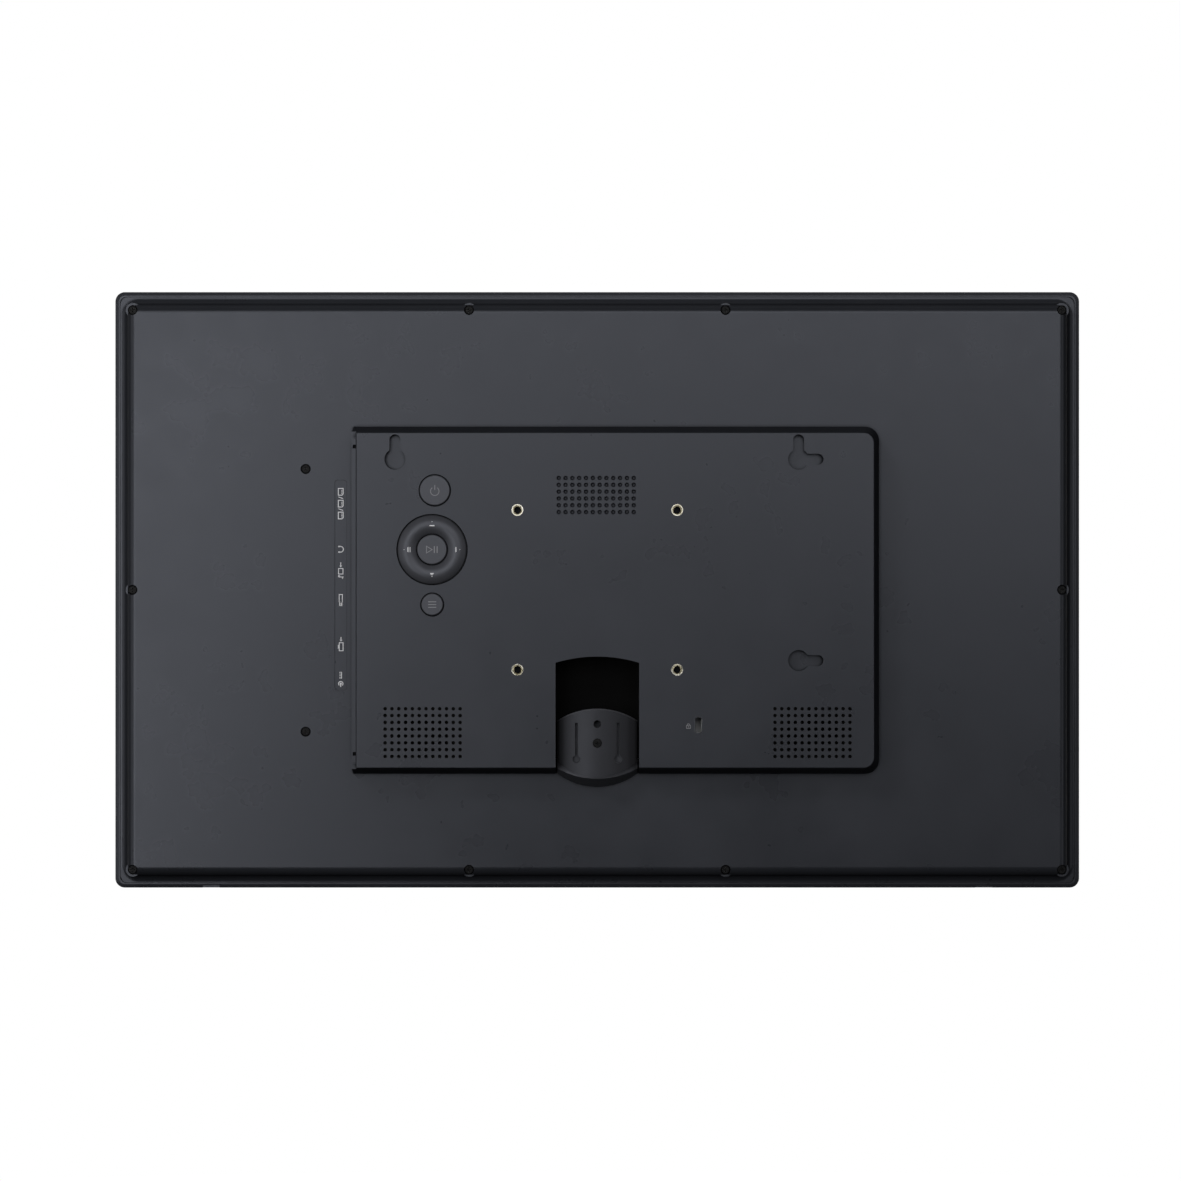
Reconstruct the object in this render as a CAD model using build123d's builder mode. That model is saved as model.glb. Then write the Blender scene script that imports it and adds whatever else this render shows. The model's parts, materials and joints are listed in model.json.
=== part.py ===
"""An 18.5 inch digital photo frame as its separate pieces.

Frame of reference: the origin is the centre of the four wall-mount holes, on the rear face of the
electronics housing. +Z is up, +Y points out of the back and the screen faces -Y. Sketches are drawn
on rear_plane(), where local x runs to the right as seen from behind, so a local x is a global -X.
Millimetres throughout.
"""

from build123d import *

import os
from math import cos, radians, sin

# ------------------------------------------------------------------ driving dimensions
FRAME_W = 458.0  # outer width
FRAME_H = 283.0  # outer height
CORNER_R = 4.5
WALL = 2.4  # moulded wall
GAP = 0.3  # between pieces that only face each other
RUN = 0.05  # radial clearance of a screw or a shaft in its hole

# depths, all along Y
HOUSING_REAR = 0.0  # rear face of the electronics housing
PANEL_REAR = -16.0  # rear face of the flat back panel
SEAM = -24.4  # edge of the bezel wall, where the rear cover begins
COVER_FOOT = -26.0  # where the rear cover stands on the bezel's ledge
FRONT = -38.0  # front face of the bezel
HOUSING_INNER = HOUSING_REAR - WALL
PANEL_INNER = PANEL_REAR - WALL
BEZEL_INNER = FRONT + WALL

# rear cover rim, as insets from the outline
BEZEL_WALL = 2.2
LIP_SLOPE = (1.7, 0.45)  # width and drop of the bezel wall's sloped rear edge
COVER_EDGE = BEZEL_WALL + GAP
SLAB_INSET = 6.1  # upright wall between the rim's two curves
HOLLOW_R = 3.4  # concave curve at the foot of the rim
CREST_R = 4.4  # convex curve up into the panel

# cross-recess screws
SCREW_X = 220.0
SCREW_Z = 132.5
MID_SCREW_X = 60.7
RIM_SCREWS = (
    [(sx * SCREW_X, sz * SCREW_Z) for sx in (-1, 1) for sz in (-1, 1)]
    + [(sx * MID_SCREW_X, sz * SCREW_Z) for sx in (-1, 1) for sz in (-1, 1)]
    + [(-SCREW_X, 0.0), (SCREW_X, 0.0)]
)
PANEL_SCREWS = [(-138.0, 57.2), (-138.0, -67.1)]
HEAD_R = 2.15
HEAD_H = 1.5
SHANK_R = 1.3
WELL_R = 2.4  # counterbore that a head sits in
RIM_SEAT = -19.2
PANEL_SEAT = -18.2
BOSS_R = 3.4

# electronics housing
HOUSING_LEFT = -113.3  # open side, closed by the port plate
HOUSING_RIGHT = 133.3
HOUSING_TOP = 77.2
HOUSING_BOTTOM = -87.0
SLOPE = 3.3  # how far its three closed walls lean in
HOUSING_R = 6.5
HOUSING_R_REAR = 5.0
CHEEK = 2.1  # how far the sloped walls reach past the open side
FLANGE = 7.0  # panel left under the housing's walls
HOUSING_BOSSES = [(-50, 71.6), (50, 71.6), (-50, -81.4), (50, -81.4), (127.7, 20), (127.7, -8)]

# wall mounts
VESA = 75.0
VESA_BORE_R = 2.0  # M4 thread, drawn plain
KEYHOLE_R = 4.95
KEYHOLE_SLOT = 5.2
KEYHOLE_REACH = 9.1
POCKET_FLOOR = HOUSING_INNER - 2.8  # room for a screw head behind the wall
POCKET_BASE = POCKET_FLOOR - 1.5
POCKET_R = 5.75
POCKET_SLOT = 4.6
POCKET_REACH = 7.4
KEYHOLES = [((-95.0, 61.3), (90,)), ((94.5, 61.3), (90, 0)), ((94.5, -33.2), (0,))]
LOCK_SLOT = (47.5, -63.5)

# sound and air
PITCH = 3.2
GRILLE_HOLE_R = 0.85
SPEAKER_X = {"left": -82.0, "right": 101.0}
SPEAKER_Z = -67.0
VENT = (-0.5, 44.5)
DIMPLE = dict(floor_r=0.5, flare=0.58, depth=0.8)  # blind, funnel-shaped

# controls, drawn from behind
POWER = (-76.3, 46.7)
NAV = (-77.6, 18.9)
MENU = (-77.5, -6.9)
CAP_TOP = 0.35
SKIRT = (-3.9, -2.7)  # depth of the flange that keeps a button in
KEYPAD_FACE = -6.0
SWITCH_TOP = -5.2
PLUNGER_TOP = -4.8
PLUNGER_R = 1.1
NAV_REACH = 12.5  # from the ring's centre to its switches
NAV_HOLE_R = 16.75
KEYPAD_X = (-94.0, -60.0)
KEYPAD_Z = (-15.0, 52.0)
KEYPAD_POSTS = [(-90.5, 49.0), (-62.5, 49.0), (-90.5, -12.0), (-62.5, -12.0)]

# connectors, by height on the port plate
PORT_REAR = -0.6
SOCKET_Y = -8.6
BOARD_FACE = -12.0
BOARD_T = 1.6
CARD_Z, HEADPHONE_Z, AV_Z, USB_Z, HDMI_Z, DC_Z = 40.8, 19.2, 9.1, -4.8, -26.2, -42.4
JACK_R = 1.8

# tilting hinge for the desk stand
RECESS = dict(half=19.65, shoulder=-34.2, crown=-31.3)
RECESS_FLOOR = -19.5
AXIS_Y, AXIS_Z = -12.0, -74.0
FACE_Y = -1.5
FACE_R = 37.0
PLATE_T = 1.55
SHAFT_R = 2.0
STAND_BORE_R = 1.8

# screen module
LCD_FRONT = FRONT + 2.5
LCD_W, LCD_H, LCD_T = 430.4, 254.6, 11.0
LCD_REAR = LCD_FRONT + LCD_T
VIEW_W, VIEW_H = 411.0, 232.0
BRACKET = (-23.8, -22.6)

os.makedirs("parts", exist_ok=True)


# ------------------------------------------------------------------ shared helpers
def rear_plane(y):
    """Plane across the frame at depth y, seen from behind, with its normal out of the back."""
    return Plane(origin=(0, y, 0), x_dir=(-1, 0, 0), z_dir=(0, 1, 0))


def side_plane(x):
    """Plane along the depth at local x, where sketch x is global Y and sketch y is global Z."""
    return Plane(origin=(-x, 0, 0), x_dir=(0, 1, 0), z_dir=(1, 0, 0))


def save(part, name):
    """Label a finished piece and write it."""
    part.label = name
    export_step(part, f"parts/{name}.step")


def prism(sketch, depths, mode=Mode.ADD):
    """Extrude a sketch made on rear_plane(depths[0]) to the second depth."""
    extrude(sketch.sketch, amount=depths[1] - depths[0], mode=mode)


def slab(x, z, y, mode=Mode.ADD, corner=0.0):
    """Box between pairs of local x, height z and depth y."""
    with BuildSketch(rear_plane(y[0])) as face:
        with Locations(((x[0] + x[1]) / 2, (z[0] + z[1]) / 2)):
            if corner:
                RectangleRounded(abs(x[1] - x[0]), abs(z[1] - z[0]), corner)
            else:
                Rectangle(abs(x[1] - x[0]), abs(z[1] - z[0]))
    prism(face, y, mode)


def discs(points, radius, y, mode=Mode.ADD):
    """Equal round pillars or holes between two depths."""
    with BuildSketch(rear_plane(y[0])) as face:
        with Locations(*points):
            Circle(radius)
    prism(face, y, mode)


def outline(inset, corner, y, mode=Mode.ADD):
    """Rounded rectangle that follows the frame's outline, between two depths."""
    half_w = FRAME_W / 2 - inset
    half_h = FRAME_H / 2 - inset
    slab((-half_w, half_w), (-half_h, half_h), y, mode, corner)


def shaft_along_x(x, y, z, radius, mode=Mode.ADD):
    """Round bar or hole along X between two local x, at depth y and height z."""
    with BuildSketch(side_plane(x[0])) as face:
        with Locations((y, z)):
            Circle(radius)
    extrude(face.sketch, amount=x[0] - x[1], mode=mode)


def cross_recess(point, top, size=1.0):
    """Cross-shaped drive recess in a screw head whose top is at depth top."""
    with BuildSketch(rear_plane(top)) as face:
        with Locations(point):
            Rectangle(2.3 * size, 0.62 * size)
            Rectangle(0.62 * size, 2.3 * size)
            Circle(0.52 * size)
    extrude(face.sketch, amount=-0.9 * size, taper=12, mode=Mode.SUBTRACT)


def screws(points, seat, tip, head_r=HEAD_R, head_h=HEAD_H, shank_r=SHANK_R):
    """Pan-head screws driven from behind, their heads on a seat, each a separate solid."""
    discs(points, head_r, (seat, seat + head_h))
    top_edges = edges().filter_by(GeomType.CIRCLE).group_by(Axis.Y)[-1]
    fillet(top_edges, head_h * 0.35)
    discs(points, shank_r, (tip, seat))
    for point in points:
        cross_recess(point, seat + head_h, head_r / HEAD_R)


def arched_face(half, low, shoulder, crown):
    """Face with straight sides, a straight foot and an arched top."""
    with BuildLine() as edge:
        ThreePointArc((-half, shoulder), (0, crown), (half, shoulder))
        Polyline((half, shoulder), (half, low), (-half, low), (-half, shoulder))
    make_face(edge.edges())


def barrel_face(half, shoulder, crown, foot, toe):
    """Face with straight sides, bowed outwards at the top and at the bottom."""
    with BuildLine() as edge:
        ThreePointArc((-half, shoulder), (0, crown), (half, shoulder))
        Line((half, shoulder), (half, foot))
        ThreePointArc((half, foot), (0, toe), (-half, foot))
        Line((-half, foot), (-half, shoulder))
    make_face(edge.edges())


# ------------------------------------------------------------------ front bezel
with BuildPart() as front_bezel:
    outline(0, CORNER_R, (FRONT, SEAM))
    front_rim = faces().sort_by(Axis.Y)[0].edges()
    fillet(front_rim, 1.6)
    rear_face = faces().sort_by(Axis.Y)[-1]
    chamfer(rear_face.edges(), LIP_SLOPE[0], LIP_SLOPE[1], reference=rear_face)
    outline(BEZEL_WALL, 3.2, (COVER_FOOT, SEAM), Mode.SUBTRACT)
    outline(4.6, 2.6, (BEZEL_INNER, COVER_FOOT), Mode.SUBTRACT)
    slab((-VIEW_W / 2, VIEW_W / 2), (-VIEW_H / 2, VIEW_H / 2), (FRONT, BEZEL_INNER), Mode.SUBTRACT)
    window_edges = (
        edges().filter_by_position(Axis.Y, FRONT - 0.01, FRONT + 0.01)
        .filter_by(lambda e: abs(e.center().X) < VIEW_W / 2 + 1 and abs(e.center().Z) < VIEW_H / 2 + 1)
    )
    chamfer(window_edges, 1.4)
    discs(RIM_SCREWS, 3.0, (BEZEL_INNER, COVER_FOOT))
    discs(RIM_SCREWS, SHANK_R + RUN, (BEZEL_INNER + 1.5, COVER_FOOT), Mode.SUBTRACT)
    # two pry notches in the lower edge of the seam
    for notch_x in (-183.5, 183.5):
        slab((notch_x - 4, notch_x + 4), (-FRAME_H / 2 - 1, -FRAME_H / 2 + 1.2),
             (SEAM - 1.2, SEAM), Mode.SUBTRACT)
save(front_bezel.part, "front_bezel")

# ------------------------------------------------------------------ rear cover
with BuildPart() as rear_cover:
    outline(COVER_EDGE, 4.0, (COVER_FOOT, SEAM + 0.5))
    outline(SLAB_INSET, 5.0, (SEAM + 0.5, PANEL_REAR))
    crest = faces().sort_by(Axis.Y)[-1].edges()
    fillet(crest, CREST_R)
    hollow = edges().filter_by_position(Axis.Y, SEAM + 0.49, SEAM + 0.51).filter_by(
        lambda e: abs(e.center().X) <= FRAME_W / 2 - SLAB_INSET + 0.01
        and abs(e.center().Z) <= FRAME_H / 2 - SLAB_INSET + 0.01
    )
    fillet(hollow, HOLLOW_R)
    outline(SLAB_INSET + WALL, 2.6, (COVER_FOOT, PANEL_INNER), Mode.SUBTRACT)
    # stiffening ribs under the panel
    for rib_x in (-190, -160, 150, 180):
        slab((rib_x - 0.8, rib_x + 0.8), (-131, 131), (PANEL_INNER - 3.0, PANEL_INNER))
    for rib_z in (-112, 102):
        slab((-218, 218), (rib_z - 0.8, rib_z + 0.8), (PANEL_INNER - 3.0, PANEL_INNER))
    # screw bosses, their wells and holes
    discs(RIM_SCREWS, BOSS_R, (COVER_FOOT, PANEL_INNER))
    discs(RIM_SCREWS, WELL_R, (RIM_SEAT, PANEL_REAR), Mode.SUBTRACT)
    discs(RIM_SCREWS, SHANK_R + 0.2, (COVER_FOOT, RIM_SEAT), Mode.SUBTRACT)
    discs(PANEL_SCREWS, 4.2, (BRACKET[1], PANEL_INNER))
    discs(PANEL_SCREWS, WELL_R, (PANEL_SEAT, PANEL_REAR), Mode.SUBTRACT)
    discs(PANEL_SCREWS, SHANK_R + 0.2, (BRACKET[1], PANEL_SEAT), Mode.SUBTRACT)
    # opening into the electronics housing
    slab((HOUSING_LEFT + FLANGE, HOUSING_RIGHT - FLANGE), (HOUSING_BOTTOM + FLANGE, HOUSING_TOP - FLANGE),
         (PANEL_INNER, PANEL_REAR), Mode.SUBTRACT, corner=4.0)
    discs(HOUSING_BOSSES, 2.9, (PANEL_INNER, PANEL_REAR))
    discs(HOUSING_BOSSES, SHANK_R + 0.2, (PANEL_INNER, PANEL_REAR), Mode.SUBTRACT)
    # shallow strip beside the ports for their pictograms
    slab((-124.3, -118.4), (-47.6, 52.1), (PANEL_REAR - 0.4, PANEL_REAR), Mode.SUBTRACT, corner=1.5)
save(rear_cover.part, "rear_cover")


# ------------------------------------------------------------------ electronics housing
def housing_block(left, inset, y):
    """Block of the housing's outline, inset, with its right corners rounded and its walls leaning in."""
    height = HOUSING_REAR - PANEL_REAR
    sections = []
    for depth in y:
        lean = SLOPE * (depth - PANEL_REAR) / height + inset
        right = HOUSING_RIGHT - lean
        top = HOUSING_TOP - lean
        bottom = HOUSING_BOTTOM + lean
        rounding = HOUSING_R + (HOUSING_R_REAR - HOUSING_R) * (depth - PANEL_REAR) / height - inset * 0.6
        with BuildSketch(rear_plane(depth)) as section:
            with Locations(((left + right) / 2, (top + bottom) / 2)):
                Rectangle(right - left, top - bottom)
            fillet(section.vertices().sort_by(Axis.X)[-2:], rounding)
        sections.append(section.sketch)
    return loft(sections, ruled=True, mode=Mode.PRIVATE)


def keyhole_face(point, directions, round_r, slot_half, reach):
    """Keyhole: a round entry with slots leading out of it."""
    with Locations(point):
        Circle(round_r)
    for direction in directions:
        end_x = point[0] + reach * cos(radians(direction))
        end_z = point[1] + reach * sin(radians(direction))
        with Locations((end_x, end_z)):
            Circle(slot_half)
        with Locations(((point[0] + end_x) / 2, (point[1] + end_z) / 2)):
            Rectangle(reach, 2 * slot_half, rotation=direction)


HOUSING_SHELL = housing_block(HOUSING_LEFT - CHEEK, 0, (PANEL_REAR, HOUSING_REAR))
HOUSING_ROOM = housing_block(HOUSING_LEFT - 2 * CHEEK, WALL, (PANEL_REAR, HOUSING_INNER))
VESA_POINTS = [(sx * VESA / 2, sz * VESA / 2) for sx in (-1, 1) for sz in (-1, 1)]

with BuildPart() as electronics_cover:
    add(HOUSING_SHELL)
    slab((HOUSING_LEFT - CHEEK, HOUSING_LEFT), (-200, 200), (HOUSING_INNER, HOUSING_REAR), Mode.SUBTRACT)
    add(HOUSING_ROOM, mode=Mode.SUBTRACT)
    rear_rim = faces().sort_by(Axis.Y)[-1].edges()
    fillet(rear_rim, 0.5)
    # bosses: threaded inserts, housing screws and the keyhole pockets
    discs(VESA_POINTS, 4.4, (-10.0, HOUSING_INNER))
    discs(HOUSING_BOSSES, 2.9, (PANEL_REAR, HOUSING_INNER))
    for centre, directions in KEYHOLES:
        for shape, depths, mode in (
            ((POCKET_R + 1.2, POCKET_SLOT + 1.0, POCKET_REACH), (POCKET_BASE, HOUSING_INNER), Mode.ADD),
            ((POCKET_R, POCKET_SLOT, POCKET_REACH), (POCKET_FLOOR, HOUSING_INNER), Mode.SUBTRACT),
            ((KEYHOLE_R, KEYHOLE_SLOT / 2, KEYHOLE_REACH), (HOUSING_INNER, HOUSING_REAR), Mode.SUBTRACT),
        ):
            with BuildSketch(rear_plane(depths[0])) as keyhole:
                keyhole_face(centre, directions, *shape)
            prism(keyhole, depths, mode)
    discs(VESA_POINTS, 2.8, (-8.6, HOUSING_REAR), Mode.SUBTRACT)
    discs(HOUSING_BOSSES, SHANK_R + RUN, (PANEL_REAR, -6.0), Mode.SUBTRACT)
    # posts for the keypad board
    discs(KEYPAD_POSTS, 1.9, (KEYPAD_FACE, HOUSING_INNER))
    discs(KEYPAD_POSTS, 0.9, (KEYPAD_FACE, HOUSING_INNER - 0.4), Mode.SUBTRACT)
    # frames that hold the two speakers
    for speaker_x in SPEAKER_X.values():
        slab((speaker_x - 20.6, speaker_x + 20.6), (SPEAKER_Z - 13.6, SPEAKER_Z + 13.6),
             (-4.4, HOUSING_INNER))
        slab((speaker_x - 19.2, speaker_x + 19.2), (SPEAKER_Z - 12.2, SPEAKER_Z + 12.2),
             (-4.4, HOUSING_INNER), Mode.SUBTRACT)
    # grilles: open in front of the speakers, blind dimples at the vent
    with BuildSketch(rear_plane(HOUSING_INNER)) as grille:
        with Locations(*[(x, SPEAKER_Z) for x in SPEAKER_X.values()]):
            with GridLocations(PITCH, PITCH, 12, 8):
                Circle(GRILLE_HOLE_R)
    prism(grille, (HOUSING_INNER, HOUSING_REAR), Mode.SUBTRACT)
    with BuildSketch(rear_plane(HOUSING_REAR - DIMPLE["depth"])) as vent:
        with Locations(VENT):
            with GridLocations(PITCH, PITCH, 12, 6):
                Circle(DIMPLE["floor_r"])
    prism(vent, (HOUSING_REAR - DIMPLE["depth"], HOUSING_REAR), Mode.SUBTRACT)
    dimple_rings = edges().filter_by(GeomType.CIRCLE).filter_by(
        lambda e: abs(e.radius - DIMPLE["floor_r"]) < 0.01
    )
    chamfer(dimple_rings.group_by(Axis.Y)[-1], DIMPLE["flare"])
    # holes for the controls and the lock slot
    discs([POWER], 7.65, (HOUSING_INNER, HOUSING_REAR), Mode.SUBTRACT)
    discs([NAV], NAV_HOLE_R, (HOUSING_INNER, HOUSING_REAR), Mode.SUBTRACT)
    discs([MENU], 5.7, (HOUSING_INNER, HOUSING_REAR), Mode.SUBTRACT)
    slab((LOCK_SLOT[0] - 1.6, LOCK_SLOT[0] + 1.6), (LOCK_SLOT[1] - 3.6, LOCK_SLOT[1] + 3.6),
         (HOUSING_INNER, HOUSING_REAR), Mode.SUBTRACT, corner=1.2)
    # recess for the hinge, open at the foot of the housing
    with BuildSketch(rear_plane(PANEL_REAR)) as recess:
        arched_face(RECESS["half"], HOUSING_BOTTOM - 2, RECESS["shoulder"], RECESS["crown"])
    prism(recess, (PANEL_REAR, HOUSING_REAR), Mode.SUBTRACT)
save(electronics_cover.part, "electronics_cover")


# ------------------------------------------------------------------ port plate
with BuildPart() as port_plate:
    plate_left = HOUSING_LEFT - CHEEK
    plate_low = HOUSING_BOTTOM + SLOPE + WALL + 0.5
    plate_high = HOUSING_TOP - SLOPE - WALL - 0.5
    slab((plate_left, HOUSING_LEFT - 0.1), (plate_low, plate_high), (PANEL_REAR + 0.1, PORT_REAR))
    # latch windows at both ends of its rear edge
    for window_z in (67.3, -77.0):
        slab((plate_left + 0.5, HOUSING_LEFT + 1), (window_z - 0.9, window_z + 0.9),
             (PORT_REAR - 1.6, PORT_REAR), Mode.SUBTRACT)
    for socket_z, half_z, half_y in ((CARD_Z, 13.0, 1.6), (USB_Z, 6.75, 3.0), (HDMI_Z, 7.7, 2.95)):
        slab((plate_left - 1, HOUSING_LEFT + 1), (socket_z - half_z, socket_z + half_z),
             (SOCKET_Y - half_y, SOCKET_Y + half_y), Mode.SUBTRACT)
    for jack_z, hole_r in ((HEADPHONE_Z, 3.1), (AV_Z, 3.1), (DC_Z, 4.1)):
        shaft_along_x((plate_left - 1, HOUSING_LEFT + 1), SOCKET_Y, jack_z, hole_r, Mode.SUBTRACT)
save(port_plate.part, "port_plate")

# ------------------------------------------------------------------ fasteners
with BuildPart() as rim_screws:
    screws(RIM_SCREWS, RIM_SEAT, -32.0)
save(rim_screws.part, "rim_screws")

with BuildPart() as panel_screws:
    screws(PANEL_SCREWS, PANEL_SEAT, LCD_REAR + 0.2)
save(panel_screws.part, "panel_screws")

with BuildPart() as housing_screws:
    discs(HOUSING_BOSSES, HEAD_R, (PANEL_INNER - HEAD_H, PANEL_INNER))
    discs(HOUSING_BOSSES, SHANK_R, (PANEL_INNER, -7.0))
save(housing_screws.part, "housing_screws")

with BuildPart() as vesa_inserts:
    discs(VESA_POINTS, 2.75, (-8.0, -0.05))
    discs(VESA_POINTS, VESA_BORE_R, (-8.0, -0.05), Mode.SUBTRACT)
    mouths = edges().filter_by(GeomType.CIRCLE).group_by(Axis.Y)[-1].filter_by(lambda e: e.radius < 2.4)
    chamfer(mouths, 0.25)
save(vesa_inserts.part, "vesa_inserts")

# ------------------------------------------------------------------ screen module
with BuildPart() as lcd_front_frame:
    half_w, half_h = LCD_W / 2, LCD_H / 2
    slab((-half_w, half_w), (-half_h, half_h), (LCD_FRONT, LCD_FRONT + 7.5))
    slab((-half_w + 0.8, half_w - 0.8), (-half_h + 0.8, half_h - 0.8), (LCD_FRONT + 0.8, LCD_FRONT + 7.5),
         Mode.SUBTRACT)
    slab((-VIEW_W / 2 - 0.3, VIEW_W / 2 + 0.3), (-VIEW_H / 2 - 0.3, VIEW_H / 2 + 0.3),
         (LCD_FRONT, LCD_FRONT + 0.8), Mode.SUBTRACT)
save(lcd_front_frame.part, "lcd_front_frame")

with BuildPart() as lcd_glass:
    slab((-210.0, 210.0), (-121.0, 121.0), (LCD_FRONT + 0.9, LCD_FRONT + 2.5))
save(lcd_glass.part, "lcd_glass")

with BuildPart() as panel_frame:
    slab((-213.0, 213.0), (-125.1, 125.1), (LCD_FRONT + 2.5, LCD_FRONT + 3.9))
    slab((-207.0, 207.0), (-118.0, 118.0), (LCD_FRONT + 2.5, LCD_FRONT + 3.9), Mode.SUBTRACT)
save(panel_frame.part, "panel_frame")

with BuildPart() as optical_sheets:
    for layer in range(3):
        low_y = LCD_FRONT + 2.6 + layer * 0.4
        slab((-206.4, 206.4), (-117.4, 117.4), (low_y, low_y + 0.3))
    slab((-209.0, 209.0), (-119.0, 119.0), (LCD_FRONT + 7.1, LCD_FRONT + 7.4))
save(optical_sheets.part, "optical_sheets")

with BuildPart() as light_guide:
    slab((-209.0, 209.0), (-119.0, 119.0), (LCD_FRONT + 4.0, LCD_FRONT + 7.0))
save(light_guide.part, "light_guide")

with BuildPart() as led_bar:
    slab((-205.0, 205.0), (-121.6, -120.4), (LCD_FRONT + 4.0, LCD_FRONT + 7.2))
    with BuildSketch(rear_plane(LCD_FRONT + 4.6)) as leds:
        with Locations((0, -119.9)):
            with GridLocations(10.0, 1.0, 40, 1):
                Rectangle(4.0, 1.0)
    prism(leds, (LCD_FRONT + 4.6, LCD_FRONT + 6.4))
save(led_bar.part, "led_bar")

with BuildPart() as lcd_rear_tray:
    slab((-214.2, 214.2), (-126.3, 126.3), (LCD_FRONT + 4.0, LCD_REAR))
    slab((-213.2, 213.2), (-125.3, 125.3), (LCD_FRONT + 4.0, LCD_REAR - 1.0), Mode.SUBTRACT)
    # pressed channels that stiffen the tray
    for channel_x in (-170, 170):
        slab((channel_x - 6, channel_x + 6), (-100, 100), (LCD_REAR - 1.0, LCD_REAR - 0.5), Mode.SUBTRACT,
             corner=4.0)
save(lcd_rear_tray.part, "lcd_rear_tray")

# ------------------------------------------------------------------ steel bracket and boards
with BuildPart() as support_bracket:
    slab((-150.0, 135.0), (-78.0, 66.0), BRACKET)
    for flange_x, flange_z in (((-128, 120), 64.8), ((-128, -24), -78.0), ((24, 120), -78.0)):
        slab(flange_x, (flange_z, flange_z + 1.2), (BRACKET[1], BRACKET[1] + 3.0))
    for window_x in (-50.0, 75.0):
        slab((window_x - 22, window_x + 22), (5, 45), BRACKET, Mode.SUBTRACT, corner=6.0)
    discs(PANEL_SCREWS, SHANK_R + RUN, BRACKET, Mode.SUBTRACT)
save(support_bracket.part, "support_bracket")

BOARD_POSTS = [(-102.0, 25.0), (-102.0, -15.2), (-30.0, 22.0), (-30.0, -20.0)]
with BuildPart() as board_posts:
    discs(BOARD_POSTS, 2.6, (BRACKET[1], BOARD_FACE - BOARD_T))
    discs(BOARD_POSTS, SHANK_R + RUN, (BRACKET[1], BOARD_FACE - BOARD_T), Mode.SUBTRACT)
save(board_posts.part, "board_posts")

with BuildPart() as main_board:
    slab((-112.6, -24.0), (-50.0, 54.0), (BOARD_FACE - BOARD_T, BOARD_FACE), corner=1.5)
    discs(BOARD_POSTS, SHANK_R + 0.2, (BOARD_FACE - BOARD_T, BOARD_FACE), Mode.SUBTRACT)
save(main_board.part, "main_board")

with BuildPart() as board_screws:
    discs(BOARD_POSTS, 2.4, (BOARD_FACE, BOARD_FACE + 1.4))
    discs(BOARD_POSTS, SHANK_R, (BOARD_FACE - 6.0, BOARD_FACE))
save(board_screws.part, "board_screws")

CHIPS = [(-42, 8, 15, 15, 1.4), (-88, 4, 10, 7, 1.2), (-66, 12, 9, 12, 1.2), (-45, -14, 6, 5, 1.0),
         (-92, -38, 12, 12, 4.5), (-72, -40, 6, 6, 2.5), (-60, -40, 6, 6, 2.5)]
CAPACITORS = [(-57, -27), (-65, -27), (-73, -27)]
with BuildPart() as board_components:
    discs(CAPACITORS, 3.2, (BOARD_FACE, BOARD_FACE + 6.5))
    fillet(edges().filter_by(GeomType.CIRCLE).group_by(Axis.Y)[-1], 0.5)
    for chip_x, chip_z, chip_w, chip_h, chip_t in CHIPS:
        slab((chip_x - chip_w / 2, chip_x + chip_w / 2), (chip_z - chip_h / 2, chip_z + chip_h / 2),
             (BOARD_FACE, BOARD_FACE + chip_t))
save(board_components.part, "board_components")

with BuildPart() as heat_sink:
    slab((-50.0, -34.0), (0.0, 16.0), (BOARD_FACE + 1.4, BOARD_FACE + 2.4))
    for fin in range(6):
        fin_x = -50.0 + fin * 3.0
        slab((fin_x, fin_x + 1.0), (0.0, 16.0), (BOARD_FACE + 2.4, BOARD_FACE + 4.2))
save(heat_sink.part, "heat_sink")

with BuildPart() as tcon_board:
    slab((30.0, 118.0), (44.0, 62.0), (BRACKET[1] + 1.0, BRACKET[1] + 2.2), corner=1.0)
    discs([(34.0, 53.0), (114.0, 53.0)], 2.0, (BRACKET[1], BRACKET[1] + 1.0))
    slab((82.0, 98.0), (49.0, 57.0), (BRACKET[1] + 2.2, BRACKET[1] + 3.2))
save(tcon_board.part, "tcon_board")


def ribbon(points, radius, width, height, thickness=0.4):
    """Flat cable: a bent strip through (local x, depth) points, centred at a height and that wide."""
    across = Plane(origin=(0, 0, height), x_dir=(-1, 0, 0), z_dir=(0, 0, -1))
    with BuildLine(across) as route:
        FilletPolyline(*points, radius=radius)
    with BuildSketch(across) as strip:
        trace(route.line, line_width=thickness)
    extrude(strip.sketch, amount=width / 2, both=True)


def wire(points, radius, thickness=1.0):
    """Round cable along straight runs joined by arcs, through global points."""
    with BuildLine() as route:
        FilletPolyline(*points, radius=radius)
    with BuildSketch(Plane(origin=route.line @ 0, z_dir=route.line % 0)) as section:
        Circle(thickness)
    sweep(section.sketch, path=route.line)


with BuildPart() as display_cable:
    ribbon([(34.0, -19.9), (14.0, -19.9), (-6.0, -11.3), (-30.0, -11.3)], 8.0, 12.0, 46.0)
save(display_cable.part, "display_cable")

with BuildPart() as keypad_cable:
    ribbon([(-68.0, -7.9), (-57.0, -7.9), (-52.0, -11.7), (-43.0, -11.7)], 2.5, 9.0, 38.0)
save(keypad_cable.part, "keypad_cable")


# ------------------------------------------------------------------ sockets on the main board
FACE_X = HOUSING_LEFT - 1.7  # outer face of the sockets, just inside the port plate's own face


def jack(height, nose_r, bore_r, body_half, body_top):
    """Round socket: a moulded block with a nose that reaches through the port plate."""
    slab((HOUSING_LEFT + 0.1, HOUSING_LEFT + 13.3), (height - body_half, height + body_half),
         (BOARD_FACE, body_top))
    shaft_along_x((FACE_X, HOUSING_LEFT + 0.1), SOCKET_Y, height, nose_r)
    shaft_along_x((FACE_X, HOUSING_LEFT + 12.0), SOCKET_Y, height, bore_r, Mode.SUBTRACT)


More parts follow.
